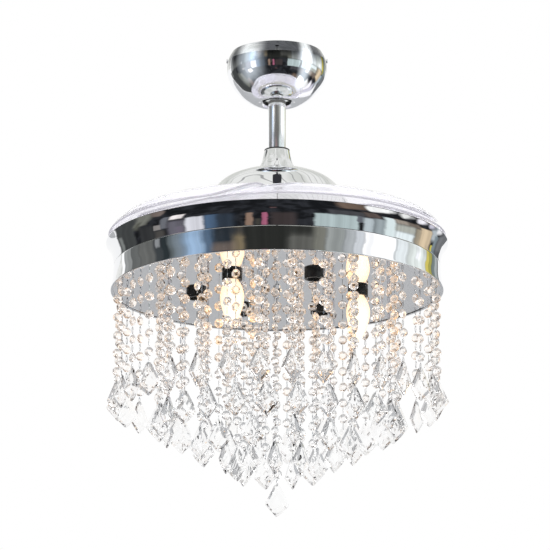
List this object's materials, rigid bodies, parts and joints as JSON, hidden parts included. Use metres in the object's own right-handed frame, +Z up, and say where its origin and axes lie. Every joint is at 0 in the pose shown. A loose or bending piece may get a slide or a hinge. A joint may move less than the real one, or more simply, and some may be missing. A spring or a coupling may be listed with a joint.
{
  "type": "retractable blade ceiling fan",
  "caption": "Ceiling fan with clear blades that fold over a chrome ring, and a lamp plate hung with tiers of cut crystal strings.",
  "frame": {"origin": "centre of the hanging bracket's top face, at the ceiling", "axes": "+Z up along the downrod, out of the ceiling face; -Y towards the front; +X to the right"},
  "size_m": [0.5, 0.5, 0.6964],
  "materials": {
    "chrome_canopy": "mirror-polished chrome plate",
    "chrome_rod": "mirror-polished chrome plate",
    "chrome_dome": "mirror-polished chrome plate",
    "chrome_ring": "mirror-polished chrome plate",
    "chrome_wire": "bright chrome wire",
    "mirror_plate": "mirror-polished steel",
    "steel": "zinc-plated sheet",
    "turned_steel": "turned steel",
    "core_steel": "laminated steel",
    "spring_steel": "blued spring steel",
    "copper": "enamelled copper wire",
    "magnet": "dark ferrite",
    "aluminium": "die-cast and pressed aluminium",
    "nylon": "natural nylon",
    "black_plastic": "black moulded plastic",
    "white_plastic": "white moulded plastic",
    "lead_insulation": "black insulation",
    "rubber": "black rubber",
    "clear_acrylic": "clear acrylic with polished edges",
    "crystal": "cut clear crystal",
    "lamp_glass": "warm lit lamp glass"
  },
  "bodies": {
    "ceiling_mount": {"hanging_bracket": "steel", "canopy": "chrome_canopy", "canopy_seal": "rubber", "canopy_screw_1": "chrome_canopy", "canopy_screw_2": "chrome_canopy", "receiver_box": "white_plastic", "terminal_block": "white_plastic"},
    "hanging_fan": {"hanger_ball": "black_plastic", "cross_pin": "turned_steel", "downrod": "chrome_rod", "motor_shaft": "turned_steel", "clevis_pin": "turned_steel", "pin_clip": "turned_steel", "coupling_cover": "chrome_rod", "cover_gasket": "rubber", "motor_dome": "chrome_dome", "stator_core": "core_steel", "stator_winding": "copper", "bearing_lower": "turned_steel", "bearing_upper": "turned_steel", "upper_band": "chrome_ring", "lower_band": "chrome_ring", "drum_pan": "steel", "shaft_nut": "turned_steel", "lamp_plate": "mirror_plate", "lamp_holder_1": "black_plastic", "lamp_holder_2": "black_plastic", "lamp_holder_3": "black_plastic", "lamp_holder_4": "black_plastic", "lamp_holder_5": "black_plastic", "lamp_holder_6": "black_plastic", "bulb_1": "lamp_glass", "bulb_2": "lamp_glass", "crystal_tier_1": "crystal", "crystal_tier_2": "crystal", "crystal_tier_3": "crystal", "crystal_tier_4": "crystal", "centre_hook": "chrome_wire", "supply_lead": "lead_insulation", "lamp_terminal_block": "white_plastic"},
    "rotor": {"rotor_case_lower": "aluminium", "rotor_case_upper": "aluminium", "magnet_ring": "magnet", "blade_carrier": "aluminium", "return_spring": "spring_steel", "pivot_pin_1": "turned_steel", "pivot_pin_2": "turned_steel", "pivot_pin_3": "turned_steel", "pivot_pin_4": "turned_steel"},
    "sync_gear": {"sync_ring_gear": "nylon"},
    "blade_arm_1": {"blade_1": "clear_acrylic", "pinion_1": "nylon"},
    "blade_arm_2": {"blade_2": "clear_acrylic", "pinion_2": "nylon"},
    "blade_arm_3": {"blade_3": "clear_acrylic", "pinion_3": "nylon"},
    "blade_arm_4": {"blade_4": "clear_acrylic", "pinion_4": "nylon"},
    "drop_link": {"drop_link": "chrome_wire"},
    "centre_drop": {"centre_drop": "crystal"}
  },
  "joints": [
    {"name": "ball_tilt", "type": "hinge", "parent": "ceiling_mount", "child": "hanging_fan", "pos_m": [0, 0, -0.028], "axis": [1, 0, 0], "range_deg": [-7, 7]},
    {"name": "rotor_spin", "type": "hinge", "parent": "hanging_fan", "child": "rotor", "pos_m": [0, 0, -0.26], "axis": [0, 0, 1], "continuous": true},
    {"name": "sync_turn", "type": "hinge", "parent": "rotor", "child": "sync_gear", "pos_m": [0, 0, -0.295], "axis": [0, 0, 1], "range_deg": [0, 21.8], "stiffness_Nm_per_rad": 1.5, "springref_deg": -11.46},
    {"name": "blade_1_fold", "type": "hinge", "parent": "rotor", "child": "blade_arm_1", "pos_m": [0.15349, 0.12429, -0.29], "axis": [0, 0, -1], "range_deg": [0, 135]},
    {"name": "blade_2_fold", "type": "hinge", "parent": "rotor", "child": "blade_arm_2", "pos_m": [-0.12429, 0.15349, -0.29], "axis": [0, 0, -1], "range_deg": [0, 135]},
    {"name": "blade_3_fold", "type": "hinge", "parent": "rotor", "child": "blade_arm_3", "pos_m": [-0.15349, -0.12429, -0.29], "axis": [0, 0, -1], "range_deg": [0, 135]},
    {"name": "blade_4_fold", "type": "hinge", "parent": "rotor", "child": "blade_arm_4", "pos_m": [0.12429, -0.15349, -0.29], "axis": [0, 0, -1], "range_deg": [0, 135]},
    {"name": "link_swing", "type": "hinge", "parent": "hanging_fan", "child": "drop_link", "pos_m": [0, 0, -0.3744], "axis": [1, 0, 0], "range_deg": [-6, 6]},
    {"name": "drop_swing", "type": "hinge", "parent": "drop_link", "child": "centre_drop", "pos_m": [0, 0, -0.3821], "axis": [0, 1, 0], "range_deg": [-6, 6]}
  ],
  "couplings": [
    {"joint": "blade_1_fold", "follows": "sync_turn", "ratio": 6.1818},
    {"joint": "blade_2_fold", "follows": "sync_turn", "ratio": 6.1818},
    {"joint": "blade_3_fold", "follows": "sync_turn", "ratio": 6.1818},
    {"joint": "blade_4_fold", "follows": "sync_turn", "ratio": 6.1818}
  ]
}
